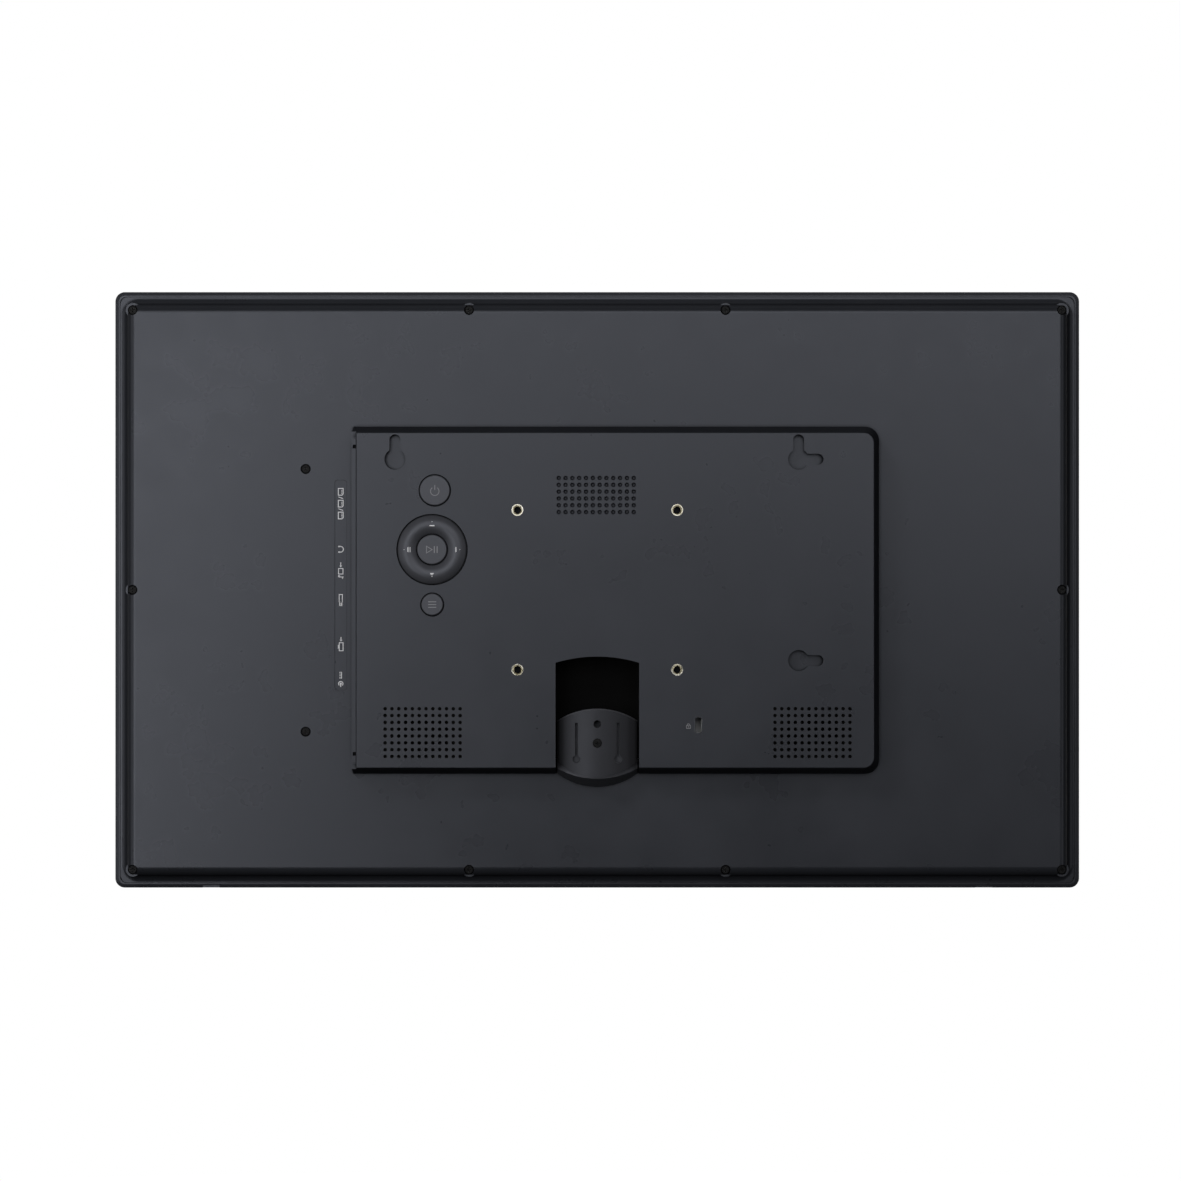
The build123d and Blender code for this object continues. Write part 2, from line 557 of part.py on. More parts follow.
def plug_socket(height, half_z, half_y, wall, tongue_half, tongue_t):
    """Rectangular socket: a folded steel shell round a tongue."""
    slab((FACE_X, HOUSING_LEFT + 12.5), (height - half_z, height + half_z),
         (SOCKET_Y - half_y, SOCKET_Y + half_y), corner=0.8)
    slab((FACE_X, HOUSING_LEFT + 11.0), (height - half_z + wall, height + half_z - wall),
         (SOCKET_Y - half_y + wall, SOCKET_Y + half_y - wall), Mode.SUBTRACT)
    slab((FACE_X + 1.2, HOUSING_LEFT + 11.0), (height - tongue_half, height + tongue_half),
         (SOCKET_Y - tongue_t / 2, SOCKET_Y + tongue_t / 2))
    slab((HOUSING_LEFT + 2.0, HOUSING_LEFT + 12.0), (height - half_z + 1, height + half_z - 1),
         (BOARD_FACE, SOCKET_Y - half_y))


with BuildPart() as headphone_jack:
    jack(HEADPHONE_Z, 2.95, JACK_R, 3.2, -5.4)
save(headphone_jack.part, "headphone_jack")

with BuildPart() as av_jack:
    jack(AV_Z, 2.95, JACK_R, 3.2, -5.4)
save(av_jack.part, "av_jack")

with BuildPart() as dc_jack:
    jack(DC_Z, 3.95, 2.9, 4.6, -4.0)
    shaft_along_x((FACE_X + 1.0, HOUSING_LEFT + 12.5), SOCKET_Y, DC_Z, 1.05)
save(dc_jack.part, "dc_jack")

with BuildPart() as usb_socket:
    plug_socket(USB_Z, 6.55, 2.85, 0.35, 5.6, 1.9)
save(usb_socket.part, "usb_socket")

with BuildPart() as hdmi_socket:
    plug_socket(HDMI_Z, 7.5, 2.75, 0.4, 5.8, 1.0)
save(hdmi_socket.part, "hdmi_socket")

with BuildPart() as card_socket:
    slab((HOUSING_LEFT + 0.1, HOUSING_LEFT + 17.0), (CARD_Z - 13.2, CARD_Z + 13.2),
         (BOARD_FACE, SOCKET_Y + 1.9))
    slab((HOUSING_LEFT, HOUSING_LEFT + 16.0), (CARD_Z - 12.2, CARD_Z + 12.2),
         (SOCKET_Y - 1.2, SOCKET_Y + 1.2), Mode.SUBTRACT)
save(card_socket.part, "card_socket")

# ------------------------------------------------------------------ speakers
with BuildPart() as speaker_gaskets:
    for speaker_x in SPEAKER_X.values():
        slab((speaker_x - 19, speaker_x + 19), (SPEAKER_Z - 12, SPEAKER_Z + 12), (-3.0, HOUSING_INNER))
        slab((speaker_x - 17.9, speaker_x + 17.9), (SPEAKER_Z - 11.4, SPEAKER_Z + 11.4),
             (-3.0, HOUSING_INNER), Mode.SUBTRACT)
save(speaker_gaskets.part, "speaker_gaskets")

for side, speaker_x in SPEAKER_X.items():
    with BuildPart() as chassis:
        slab((speaker_x - 19, speaker_x + 19), (SPEAKER_Z - 12, SPEAKER_Z + 12), (-4.6, -3.0), corner=2.0)
        slab((speaker_x - 16, speaker_x + 16), (SPEAKER_Z - 10, SPEAKER_Z + 10), (-10.0, -4.6), corner=5.0)
        with BuildSketch(rear_plane(-9.0)) as room:
            with Locations((speaker_x, SPEAKER_Z)):
                SlotOverall(30.4, 18.4)
        prism(room, (-9.0, -3.0), Mode.SUBTRACT)
        discs([(speaker_x, SPEAKER_Z)], 8.0, (-10.0, -9.0), Mode.SUBTRACT)
    save(chassis.part, f"{side}_speaker_chassis")

    with BuildPart() as cone:
        with BuildSketch(rear_plane(-3.4)) as rim:
            with Locations((speaker_x, SPEAKER_Z)):
                SlotOverall(30.0, 18.0)
        extrude(rim.sketch, amount=-0.5)
        with BuildSketch(rear_plane(-3.9)) as dish:
            with Locations((speaker_x, SPEAKER_Z)):
                SlotOverall(26.0, 14.0)
        extrude(dish.sketch, amount=-2.4, taper=30)
        with BuildSketch(rear_plane(-3.4)) as hollow:
            with Locations((speaker_x, SPEAKER_Z)):
                SlotOverall(24.8, 12.8)
        extrude(hollow.sketch, amount=-2.4, taper=30, mode=Mode.SUBTRACT)
        discs([(speaker_x, SPEAKER_Z)], 4.0, (-6.6, -5.4))
    save(cone.part, f"{side}_speaker_cone")

    with BuildPart() as magnet:
        discs([(speaker_x, SPEAKER_Z)], 7.9, (-9.8, -8.6))
        discs([(speaker_x, SPEAKER_Z)], 9.5, (-14.2, -10.1))
        discs([(speaker_x, SPEAKER_Z)], 7.0, (-10.1, -9.8))
    save(magnet.part, f"{side}_speaker_magnet")

with BuildPart() as left_speaker_wire:
    wire([(66, -11.0, -58), (66, -11.0, -54), (54, -11.0, -48), (54, -11.0, -38)], 3.0, 0.8)
save(left_speaker_wire.part, "left_speaker_wire")

with BuildPart() as right_speaker_wire:
    wire([(-84, -12.6, -60), (-70, -12.6, -40), (-34, -12.6, -18), (4, -12.6, -12), (22, -10.9, -10),
          (37, -10.9, -12)], 7.0, 0.8)
save(right_speaker_wire.part, "right_speaker_wire")

# ------------------------------------------------------------------ lock slot
with BuildPart() as lock_plate:
    slab((LOCK_SLOT[0] - 7, LOCK_SLOT[0] + 7), (LOCK_SLOT[1] - 8, LOCK_SLOT[1] + 8),
         (HOUSING_INNER - 1.2, HOUSING_INNER), corner=1.5)
    slab((LOCK_SLOT[0] - 1.5, LOCK_SLOT[0] + 1.5), (LOCK_SLOT[1] - 3.5, LOCK_SLOT[1] + 3.5),
         (HOUSING_INNER - 1.2, HOUSING_INNER), Mode.SUBTRACT, corner=1.0)
save(lock_plate.part, "lock_plate")

# ------------------------------------------------------------------ hinge for the desk stand
EAR_X = (11.2, 12.7)
CAVITY_HALF = 14.5
BLOCK_HALF = 18.9
BLOCK_INNER = -15.6

with BuildPart() as hinge_well:
    half, shoulder, crown = RECESS["half"], RECESS["shoulder"], RECESS["crown"]
    for y, low in (((PANEL_REAR, HOUSING_INNER), -81.6), ((RECESS_FLOOR - 1.5, PANEL_REAR), -79.7)):
        with BuildSketch(rear_plane(y[0])) as tub:
            arched_face(half + 1.6, low, shoulder + 1.6, crown + 1.6)
        prism(tub, y)
    for y, low in (((PANEL_REAR, HOUSING_INNER), -90.0), ((RECESS_FLOOR, PANEL_REAR), -78.2)):
        with BuildSketch(rear_plane(y[0])) as room:
            arched_face(half, low, shoulder, crown)
        prism(room, y, Mode.SUBTRACT)
save(hinge_well.part, "hinge_well")

with BuildPart() as hinge_bracket:
    slab((-CAVITY_HALF + 0.3, CAVITY_HALF - 0.3), (AXIS_Z - 3.6, AXIS_Z + 3.6),
         (RECESS_FLOOR, RECESS_FLOOR + 1.2))
    for ear in (EAR_X, (-EAR_X[1], -EAR_X[0])):
        slab(ear, (AXIS_Z - 3.3, AXIS_Z + 3.3), (RECESS_FLOOR + 1.2, AXIS_Y))
        shaft_along_x(ear, AXIS_Y, AXIS_Z, 3.3)
    shaft_along_x((-20, 20), AXIS_Y, AXIS_Z, SHAFT_R, Mode.SUBTRACT)
save(hinge_bracket.part, "hinge_bracket")

with BuildPart() as hinge_shaft:
    shaft_along_x((-17.8, 17.8), AXIS_Y, AXIS_Z, SHAFT_R)
    chamfer(edges().filter_by(GeomType.CIRCLE), 0.3)
save(hinge_shaft.part, "hinge_shaft")

with BuildPart() as hinge_washers:
    for washer in ((12.8, 14.3), (-14.3, -12.8)):
        shaft_along_x(washer, AXIS_Y, AXIS_Z, 3.8)
    shaft_along_x((-20, 20), AXIS_Y, AXIS_Z, SHAFT_R, Mode.SUBTRACT)
save(hinge_washers.part, "hinge_washers")


def crown_cylinder(radius, mode):
    """Upright cylinder whose rear side gives the hinge its crowned face."""
    with Locations((0, FACE_Y - FACE_R, AXIS_Z)):
        Cylinder(radius, 80, mode=mode)


with BuildPart() as hinge_block:
    with BuildSketch(rear_plane(BLOCK_INNER)) as low_section:
        barrel_face(BLOCK_HALF, -61.7, -56.0, -86.8, -93.2)
    with BuildSketch(rear_plane(FACE_Y)) as high_section:
        barrel_face(BLOCK_HALF, -61.7, -56.0, -81.4, -88.2)
    loft([low_section.sketch, high_section.sketch], ruled=True)
    crown_cylinder(FACE_R - PLATE_T - 0.1, Mode.INTERSECT)
    # upper part thinned so that it can sink into the well
    with BuildSketch(side_plane(-20)) as wedge:
        with BuildLine():
            Polyline((BLOCK_INNER - 1, AXIS_Z), (BLOCK_INNER, AXIS_Z), (AXIS_Y, -55.0), (AXIS_Y, -50.0),
                     (BLOCK_INNER - 1, -50.0), close=True)
        make_face()
    extrude(wedge.sketch, amount=-40, mode=Mode.SUBTRACT)
    # room for the bracket's ears round the shaft, and the shaft's bores
    slab((-CAVITY_HALF, CAVITY_HALF), (-84.0, -66.5), (BLOCK_INNER, AXIS_Y), Mode.SUBTRACT)
    shaft_along_x((-CAVITY_HALF, CAVITY_HALF), AXIS_Y, AXIS_Z, 4.2, Mode.SUBTRACT)
    shaft_along_x((-20, 20), AXIS_Y, AXIS_Z, SHAFT_R + RUN, Mode.SUBTRACT)
    # stand screw, plate screw and the room behind the plate's two slots
    discs([(0, -63.1)], STAND_BORE_R, (-11.0, 0), Mode.SUBTRACT)
    discs([(0, -72.0)], 1.0, (-7.2, 0), Mode.SUBTRACT)
    for slot_x in (-9.8, 9.8):
        slab((slot_x - 2.2, slot_x + 2.2), (-82.0, -61.5), (-6.8, 0), Mode.SUBTRACT)
save(hinge_block.part, "hinge_block")

with BuildPart() as hinge_plate:
    with BuildSketch(rear_plane(-12.0)) as face:
        barrel_face(18.6, -62.0, -56.3, -81.2, -88.0)
    prism(face, (-12.0, 0.0))
    crown_cylinder(FACE_R, Mode.INTERSECT)
    crown_cylinder(FACE_R - PLATE_T, Mode.SUBTRACT)
    for slot_x in (-9.8, 9.8):
        slab((slot_x - 0.75, slot_x + 0.75), (-79.6, -62.5), (-12, 0), Mode.SUBTRACT)
        discs([(slot_x, -79.6)], 1.9, (-12, 0), Mode.SUBTRACT)
    discs([(0, -63.1)], STAND_BORE_R, (-12, 0), Mode.SUBTRACT)
    discs([(0, -72.0)], 2.2, (FACE_Y - 0.9, 0), Mode.SUBTRACT)
    discs([(0, -72.0)], 1.1, (-12, 0), Mode.SUBTRACT)
save(hinge_plate.part, "hinge_plate")

with BuildPart() as hinge_plate_screw:
    screws([(0, -72.0)], FACE_Y - 0.9, -6.8, head_r=2.1, head_h=0.9, shank_r=0.95)
save(hinge_plate_screw.part, "hinge_plate_screw")


# ------------------------------------------------------------------ controls
def button(point, cap_r, skirt_r, skirt, top):
    """Round button: a domed cap, a skirt that keeps it behind the wall and a stem onto its switch."""
    discs([point], cap_r, (skirt[1], top))
    fillet(edges().filter_by(GeomType.CIRCLE).group_by(Axis.Y)[-1], 0.6)
    discs([point], skirt_r, skirt)
    discs([point], 2.2, (PLUNGER_TOP, skirt[0]))


NAV_SWITCHES = [
    (NAV[0] + NAV_REACH * cos(radians(turn)), NAV[1] + NAV_REACH * sin(radians(turn)))
    for turn in range(0, 360, 90)
]
MOVING_SWITCHES = {"power": POWER, "ok": NAV, "menu": MENU}
PLUNGER_Y = (PLUNGER_TOP - 0.65, PLUNGER_TOP)

with BuildPart() as power_button:
    button(POWER, 7.2, 8.9, SKIRT, CAP_TOP)
save(power_button.part, "power_button")

with BuildPart() as menu_button:
    button(MENU, 5.2, 6.9, SKIRT, CAP_TOP)
save(menu_button.part, "menu_button")

with BuildPart() as ok_button:
    button(NAV, 7.05, 8.0, (-4.0, -3.2), CAP_TOP)
save(ok_button.part, "ok_button")

for switch, point in MOVING_SWITCHES.items():
    with BuildPart() as plunger:
        discs([point], PLUNGER_R, PLUNGER_Y)
    save(plunger.part, f"{switch}_plunger")

with BuildPart() as nav_ring:
    ring_centre = Plane(origin=(-NAV[0], 0, NAV[1]), x_dir=(1, 0, 0), z_dir=(0, 0, 1))
    with BuildSketch(ring_centre) as section:
        with BuildLine():
            Line((7.43, -2.6), (7.43, -0.4))
            ThreePointArc((7.43, -0.4), (11.6, 1.0), (16.3, -0.7))
            Polyline((16.3, -0.7), (16.3, -3.35), (17.6, -3.35), (17.6, -4.0), (14.6, -4.0), (14.6, -2.6),
                     (7.43, -2.6))
        make_face()
    revolve(section.sketch, axis=Axis((-NAV[0], 0, NAV[1]), (0, 1, 0)))
    discs(NAV_SWITCHES, 1.5, (PLUNGER_TOP + 0.6, -2.6))
save(nav_ring.part, "nav_ring")

with BuildPart() as nav_gimbal:
    discs([NAV], 10.4, (-3.7, -3.05))
    discs([NAV], 8.5, (-3.7, -3.05), Mode.SUBTRACT)
save(nav_gimbal.part, "nav_gimbal")

with BuildPart() as direction_plungers:
    discs(NAV_SWITCHES, PLUNGER_R, PLUNGER_Y)
save(direction_plungers.part, "direction_plungers")

SWITCHES = NAV_SWITCHES + list(MOVING_SWITCHES.values())
with BuildPart() as tact_switches:
    with BuildSketch(rear_plane(KEYPAD_FACE)) as switch_bodies:
        with Locations(*SWITCHES):
            RectangleRounded(4.6, 4.6, 0.5)
    prism(switch_bodies, (KEYPAD_FACE, SWITCH_TOP))
    discs(SWITCHES, PLUNGER_R + RUN, (KEYPAD_FACE + 0.05, SWITCH_TOP), Mode.SUBTRACT)
save(tact_switches.part, "tact_switches")

with BuildPart() as keypad_board:
    slab(KEYPAD_X, KEYPAD_Z, (KEYPAD_FACE - 1.6, KEYPAD_FACE), corner=1.0)
    discs(KEYPAD_POSTS, 1.1, (KEYPAD_FACE - 1.6, KEYPAD_FACE), Mode.SUBTRACT)
save(keypad_board.part, "keypad_board")

with BuildPart() as keypad_screws:
    discs(KEYPAD_POSTS, 1.9, (KEYPAD_FACE - 2.8, KEYPAD_FACE - 1.6))
    discs(KEYPAD_POSTS, 0.85, (KEYPAD_FACE - 1.6, HOUSING_INNER - 0.5))
save(keypad_screws.part, "keypad_screws")
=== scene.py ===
"""Looks of the digital photo frame: materials, printed signs, contacts, threads, light and camera.

Everything is in metres in the CAD frame: +Z up, +Y out of the back, the screen faces -Y.
Flat signs are drawn as they are seen from behind, where u runs to the right (global -X) and v up.
"""

import json
from math import cos, pi, radians, sin, sqrt

import bmesh
import bpy
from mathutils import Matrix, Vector


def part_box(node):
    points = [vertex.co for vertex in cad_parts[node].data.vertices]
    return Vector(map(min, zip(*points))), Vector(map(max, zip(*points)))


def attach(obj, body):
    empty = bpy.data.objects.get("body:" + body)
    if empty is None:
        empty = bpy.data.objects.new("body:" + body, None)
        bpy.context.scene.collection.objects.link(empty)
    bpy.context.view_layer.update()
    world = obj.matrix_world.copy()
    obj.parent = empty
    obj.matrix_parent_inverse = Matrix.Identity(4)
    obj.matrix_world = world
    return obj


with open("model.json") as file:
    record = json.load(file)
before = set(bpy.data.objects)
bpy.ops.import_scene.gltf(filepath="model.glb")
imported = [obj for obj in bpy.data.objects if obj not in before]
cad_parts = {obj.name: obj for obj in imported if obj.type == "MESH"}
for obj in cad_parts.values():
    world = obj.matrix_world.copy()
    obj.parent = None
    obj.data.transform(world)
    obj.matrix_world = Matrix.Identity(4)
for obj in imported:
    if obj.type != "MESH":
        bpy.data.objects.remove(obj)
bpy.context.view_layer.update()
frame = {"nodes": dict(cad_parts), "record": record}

MM = 0.001
nodes = frame["nodes"]
mounts = {mount["name"]: mount for mount in frame["record"]["mounts"]}


# ------------------------------------------------------------------ places read from the frame
def centre(node):
    """Middle of a CAD node's box."""
    low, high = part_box(node)
    return (low + high) / 2


def rear(node):
    """Depth of a CAD node's rearmost point."""
    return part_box(node)[1].y


HOUSING_REAR = 0.0
HOUSING_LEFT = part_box("port_plate")[0].x  # inner side of the port plate
PANEL_REAR = rear("rear_cover")
LABEL_FLOOR = PANEL_REAR - 0.4 * MM
LABEL_X = HOUSING_LEFT + 8.0 * MM
PRINT = 0.06 * MM  # how far a printed sign stands above its surface
SUNK = 0.02 * MM  # how far its underside lies below the surface
ACTIVE_WIDTH, ACTIVE_HEIGHT = 409.8 * MM, 230.4 * MM  # lit area of the screen


# ------------------------------------------------------------------ materials
class Nodes:
    """Small helper that builds one material's node tree."""

    def __init__(self, name):
        self.material = bpy.data.materials.new(name)
        self.material.use_nodes = True
        self.tree = self.material.node_tree
        self.tree.nodes.clear()
        self.output = self.add("ShaderNodeOutputMaterial")
        self.shader = self.add("ShaderNodeBsdfPrincipled")
        self.link(self.shader.outputs[0], self.output.inputs["Surface"])
        self.place = self.add("ShaderNodeTexCoord").outputs["Object"]

    def add(self, kind, **settings):
        node = self.tree.nodes.new(kind)
        for key, value in settings.items():
            setattr(node, key, value)
        return node

    def link(self, source, target):
        self.tree.links.new(source, target)

    def stretched(self, scale):
        """Object coordinates multiplied along each axis."""
        mapping = self.add("ShaderNodeMapping")
        mapping.inputs["Scale"].default_value = scale
        self.link(self.place, mapping.inputs["Vector"])
        return mapping.outputs[0]

    def noise(self, scale, detail=3.0, roughness=0.55, coordinates=None):
        node = self.add("ShaderNodeTexNoise")
        node.inputs["Scale"].default_value = scale
        node.inputs["Detail"].default_value = detail
        node.inputs["Roughness"].default_value = roughness
        self.link(coordinates or self.place, node.inputs["Vector"])
        return node.outputs["Fac"]

    def cells(self, scale, feature="F1"):
        node = self.add("ShaderNodeTexVoronoi", feature=feature)
        node.inputs["Scale"].default_value = scale
        self.link(self.place, node.inputs["Vector"])
        return node.outputs["Distance"]

    def remap(self, value, low, high, out_low, out_high):
        node = self.add("ShaderNodeMapRange")
        node.inputs["From Min"].default_value = low
        node.inputs["From Max"].default_value = high
        node.inputs["To Min"].default_value = out_low
        node.inputs["To Max"].default_value = out_high
        self.link(value, node.inputs["Value"])
        return node.outputs[0]

    def math(self, operation, first, second):
        node = self.add("ShaderNodeMath", operation=operation)
        for socket, value in zip(node.inputs, (first, second)):
            if isinstance(value, (int, float)):
                socket.default_value = value
            else:
                self.link(value, socket)
        return node.outputs[0]

    def blend(self, factor, first, second):
        """Mix two colours, each a colour socket or three numbers."""
        node = self.add("ShaderNodeMix", data_type="RGBA")
        self.link(factor, node.inputs["Factor"])
        for socket, value in ((node.inputs[6], first), (node.inputs[7], second)):
            if isinstance(value, tuple):
                socket.default_value = (*value, 1.0)
            else:
                self.link(value, socket)
        return node.outputs[2]

    def edges(self, radius):
        """0 on open faces, rising to 1 where the surface turns within radius."""
        bevel = self.add("ShaderNodeBevel", samples=4)
        bevel.inputs["Radius"].default_value = radius
        geometry = self.add("ShaderNodeNewGeometry")
        dot = self.add("ShaderNodeVectorMath", operation="DOT_PRODUCT")
        self.link(bevel.outputs[0], dot.inputs[0])
        self.link(geometry.outputs["Normal"], dot.inputs[1])
        return self.remap(dot.outputs["Value"], 0.98, 0.75, 0.0, 1.0)

    def normal_part(self, axis):
        """One component of the surface normal."""
        split = self.add("ShaderNodeSeparateXYZ")
        self.link(self.add("ShaderNodeTexCoord").outputs["Normal"], split.inputs[0])
        return split.outputs[axis]

    def shade(self, distance):
        """1 in the open, falling towards 0 deep in a corner."""
        node = self.add("ShaderNodeAmbientOcclusion", samples=16)
        node.inputs["Distance"].default_value = distance
        return node.outputs["AO"]

    def bump(self, height, distance):
        """Raise and lower the shaded surface by height times distance."""
        node = self.add("ShaderNodeBump")
        node.inputs["Strength"].default_value = 1.0
        node.inputs["Distance"].default_value = distance
        self.link(height, node.inputs["Height"])
        self.link(node.outputs[0], self.shader.inputs["Normal"])

    def set(self, **values):
        """Give the shader's sockets numbers, colours or links, by their names with underscores."""
        for key, value in values.items():
            socket = self.shader.inputs[key.replace("_", " ")]
            if isinstance(value, tuple):
                socket.default_value = (*value, 1.0)
            elif isinstance(value, (int, float)):
                socket.default_value = value
            else:
                self.link(value, socket)


def moulded_plastic(name, dark, light, gloss, grain=0.28, depth=0.003, edge=None, edge_radius=0.25,
                    sheen=0.5, tint=(1.0, 1.0, 1.0), matt_shaded_walls=False, painted_shade_reach=0.0):
    """Spark-eroded moulded plastic: grain of a size and a depth in mm, soft mottling, lighter edges that are
    partly rubbed wear and partly a painted highlight.

    The walls switch dulls the faces that do not face along Y: rougher, as the mould's slides form them, and
    far less shiny, as painted shade;
    the corner reach is how far, in mm, painted shade creeps out of the corners.
    """
    m = Nodes(name)
    mottle = m.noise(14.0, detail=4.0)
    cloud = m.noise(90.0, detail=2.0)
    colour = m.blend(m.remap(mottle, 0.35, 0.65, 0.0, 1.0), dark, light)
    # lighter edge colour: partly rubbed wear, partly a painted highlight where the surface turns
    if edge is not None:
        worn = m.math("MULTIPLY", m.edges(edge_radius * MM), m.remap(cloud, 0.3, 0.6, 0.35, 1.0))
        colour = m.blend(worn, colour, edge)
    rough = m.math("ADD", m.remap(mottle, 0.3, 0.7, gloss - 0.02, gloss + 0.02),
                   m.remap(cloud, 0.3, 0.7, -0.015, 0.015))
    shine = sheen
    if matt_shaded_walls:
        # faces not along Y get more roughness, a mould-slide finish, and a specular level cut to 12 % as
        # painted shade
        facing = m.math("ABSOLUTE", m.normal_part("Y"), 0.0)
        wall = m.remap(facing, 0.9, 0.35, 0.0, 1.0)
        rough = m.math("ADD", rough, m.math("MULTIPLY", wall, 0.3))
        shine = m.remap(wall, 0.0, 1.0, sheen, sheen * 0.12)
    if painted_shade_reach:
        # painted shade: ambient occlusion darkens the colour towards near-black and dulls the shine in
        # corners, gaps and recesses
        open_sky = m.remap(m.shade(painted_shade_reach * MM), 0.32, 0.85, 0.08, 1.0)
        shine = m.math("MULTIPLY", open_sky, shine)
        colour = m.blend(open_sky, (0.002, 0.002, 0.002), colour)
    m.set(Base_Color=colour, Roughness=rough, Specular_IOR_Level=shine, Specular_Tint=tint)
    fine = m.noise(1.0 / (grain * MM), detail=2.0, roughness=0.6)
    pits = m.cells(0.7 / (grain * MM))
    m.bump(m.math("ADD", fine, m.math("MULTIPLY", pits, 0.4)), depth * MM)
    return m.material


def painted_metal(name, colour, worn, gloss, grain=0.35, depth=0.01, sheen=0.5):
    """Coated steel with a fine orange-peel and bright metal on rubbed edges."""
    m = Nodes(name)
    patch = m.noise(600.0, detail=3.0)
    bare = m.math("MULTIPLY", m.edges(0.12 * MM), m.remap(patch, 0.45, 0.7, 0.0, 0.8))
    m.set(
        Base_Color=m.blend(bare, colour, worn),
        Metallic=m.remap(bare, 0.0, 1.0, 0.0, 0.9),
        Roughness=m.remap(patch, 0.3, 0.7, gloss - 0.06, gloss + 0.06),
        Specular_IOR_Level=sheen,
    )
    m.bump(m.noise(1.0 / (grain * MM), detail=2.0), depth * MM)
    return m.material


def bare_metal(name, dark, light, gloss, lines=(900.0, 900.0, 40.0), depth=0.004):
    """Bare or plated metal, brushed or turned along the axis with the lowest scale."""
    m = Nodes(name)
    streak = m.noise(1.0, detail=4.0, coordinates=m.stretched(lines))
    tarnish = m.noise(220.0, detail=4.0)
    m.set(
        Base_Color=m.blend(m.remap(tarnish, 0.35, 0.7, 0.0, 1.0), light, dark),
        Metallic=1.0,
        Roughness=m.remap(streak, 0.3, 0.7, gloss - 0.08, gloss + 0.1),
    )
    m.bump(streak, depth * MM)
    return m.material


def printed_ink(name, colour):
    """Pad-printed ink: slightly uneven cover and a dull face."""
    m = Nodes(name)
    thin = m.noise(2500.0, detail=3.0)
    faded = tuple(channel * 0.75 for channel in colour)
    m.set(Base_Color=m.blend(m.remap(thin, 0.35, 0.65, 0.0, 1.0), faded, colour),
          Roughness=m.remap(thin, 0.3, 0.7, 0.5, 0.65))
    m.bump(thin, 0.004 * MM)
    return m.material


def screen_surface(name):
    """Switched-off display: black border round a faintly lighter active area, anti-glare haze."""
    m = Nodes(name)
    split = m.add("ShaderNodeSeparateXYZ")
    m.link(m.place, split.inputs[0])
    middle = centre("lcd_glass")
    within = []
    for axis, position, size in (("X", middle.x, ACTIVE_WIDTH), ("Z", middle.z, ACTIVE_HEIGHT)):
        offset = m.math("SUBTRACT", split.outputs[axis], position)
        distance = m.math("ABSOLUTE", offset, 0.0)
        within.append(m.remap(distance, size / 2, size / 2 - 0.3 * MM, 0.0, 1.0))
    inside = m.math("MULTIPLY", *within)
    haze = m.noise(6.0, detail=3.0)
    active = m.blend(m.remap(haze, 0.3, 0.7, 0.0, 1.0), (0.010, 0.011, 0.015), (0.013, 0.014, 0.019))
    m.set(Base_Color=m.blend(inside, (0.004, 0.004, 0.005), active),
          Roughness=m.remap(haze, 0.3, 0.7, 0.20, 0.24), IOR=1.5, Coat_Weight=0.35, Coat_Roughness=0.12)
    m.bump(m.noise(3.0 / MM, detail=2.0), 0.002 * MM)
    return m.material


def circuit_board(name):
    """Green solder mask over copper traces, with lighter pads."""
    m = Nodes(name)
    traces = m.cells(420.0, "DISTANCE_TO_EDGE")
    pads = m.cells(900.0)
    green = m.blend(m.remap(traces, 0.02, 0.05, 0.0, 1.0), (0.035, 0.17, 0.075), (0.012, 0.085, 0.04))
    m.set(Base_Color=m.blend(m.remap(pads, 0.12, 0.08, 0.0, 1.0), green, (0.55, 0.50, 0.36)),
          Roughness=m.remap(pads, 0.0, 0.5, 0.3, 0.42))
    m.bump(traces, 0.02 * MM)
    return m.material


def paper_cone(name):
    """Pressed paper with long fibres."""
    m = Nodes(name)
    fibres = m.noise(1.0, detail=5.0, coordinates=m.stretched((1200.0, 400.0, 3000.0)))
    cover = m.remap(fibres, 0.3, 0.7, 0.0, 1.0)
    m.set(Base_Color=m.blend(cover, (0.006, 0.006, 0.006), (0.014, 0.0135, 0.013)),
          Roughness=m.remap(fibres, 0.3, 0.7, 0.8, 0.95), Specular_IOR_Level=0.2)
    m.bump(fibres, 0.05 * MM)
    return m.material


def diffusing_film(name):
    """Milky film and acrylic."""
    m = Nodes(name)
    cloud = m.noise(30.0, detail=3.0)
    m.set(Base_Color=m.blend(cloud, (0.80, 0.83, 0.86), (0.90, 0.91, 0.92)),
          Roughness=m.remap(cloud, 0.3, 0.7, 0.25, 0.35))
    m.bump(m.noise(2.0 / MM), 0.002 * MM)
    return m.material


